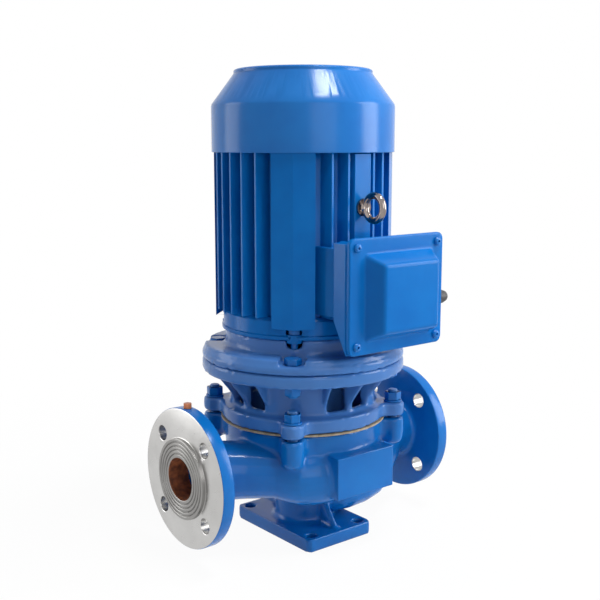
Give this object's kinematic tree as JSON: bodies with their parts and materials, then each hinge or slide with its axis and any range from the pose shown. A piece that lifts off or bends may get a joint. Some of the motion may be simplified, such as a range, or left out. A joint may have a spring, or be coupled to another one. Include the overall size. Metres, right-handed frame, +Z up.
{
  "type": "vertical in-line pump",
  "caption": "Vertical in-line centrifugal pump: volute casing with two opposed line flanges on a foot, lantern bracket, finned flange motor with fan cover and terminal box.",
  "frame": {"origin": "on the shaft axis at the underside of the foot", "axes": "+X along the ports towards the suction flange, -Y towards the terminal box, +Z up the shaft"},
  "size_m": [0.365, 0.2895, 0.571],
  "materials": {
    "blue_paint": "glossy blue enamel over castings",
    "bronze": "machined bronze",
    "copper_plug": "dull copper coloured plug",
    "gasket": "tan fibre sheet",
    "rubber": "black rubber",
    "ceramic": "lapped ceramic",
    "steel": "machined steel",
    "laminated_steel": "stacked steel laminations",
    "copper_wire": "varnished copper wire",
    "dark_chrome": "bright plated steel",
    "phenolic": "brown moulded board",
    "brass": "turned brass",
    "black_plastic": "moulded plastic",
    "bearing_steel": "ground bearing steel",
    "aluminium": "die-cast aluminium"
  },
  "bodies": {
    "pump": {"pump_casing": "blue_paint", "wear_ring": "bronze", "drain_plug": "copper_plug", "gauge_plug": "copper_plug", "casing_gasket": "gasket", "casing_studs": "blue_paint", "casing_washers": "blue_paint", "casing_nuts": "blue_paint", "lantern_bracket": "blue_paint", "seal_seat": "ceramic", "flange_end_shield": "blue_paint", "flange_bolts": "blue_paint", "flange_nuts": "blue_paint", "stator_frame": "blue_paint", "shield_bolts": "blue_paint", "stator_core": "laminated_steel", "stator_windings": "copper_wire", "upper_end_shield": "blue_paint", "upper_shield_screws": "steel", "wave_washer": "steel", "fan_cover": "blue_paint", "eye_bolt": "dark_chrome", "terminal_box": "blue_paint", "terminal_box_gasket": "rubber", "terminal_box_lid": "blue_paint", "lid_screws": "steel", "box_screws": "steel", "terminal_board": "phenolic", "terminal_studs": "brass", "cable_gland": "black_plastic", "gland_nut": "black_plastic", "blanking_plug": "black_plastic", "bearing_outer_rings": "bearing_steel"},
    "rotor": {"motor_shaft": "steel", "rotor_core": "laminated_steel", "rotor_cage": "aluminium", "bearing_inner_rings": "bearing_steel", "impeller": "bronze", "impeller_key": "steel", "impeller_washer": "steel", "impeller_nut": "steel", "seal_head": "steel", "seal_spring": "steel", "slinger_ring": "rubber", "cooling_fan": "black_plastic", "fan_circlip": "steel"},
    "ball_sets": {"bearing_balls": "bearing_steel", "bearing_cages": "bronze"}
  },
  "joints": [
    {"name": "shaft_spin", "type": "hinge", "parent": "pump", "child": "rotor", "pos_m": [0, 0, 0.3], "axis": [0, 0, 1], "continuous": true},
    {"name": "ball_orbit", "type": "hinge", "parent": "pump", "child": "ball_sets", "pos_m": [0, 0, 0.3], "axis": [0, 0, 1], "continuous": true}
  ],
  "couplings": [
    {"joint": "ball_orbit", "follows": "shaft_spin", "ratio": 0.3978}
  ]
}
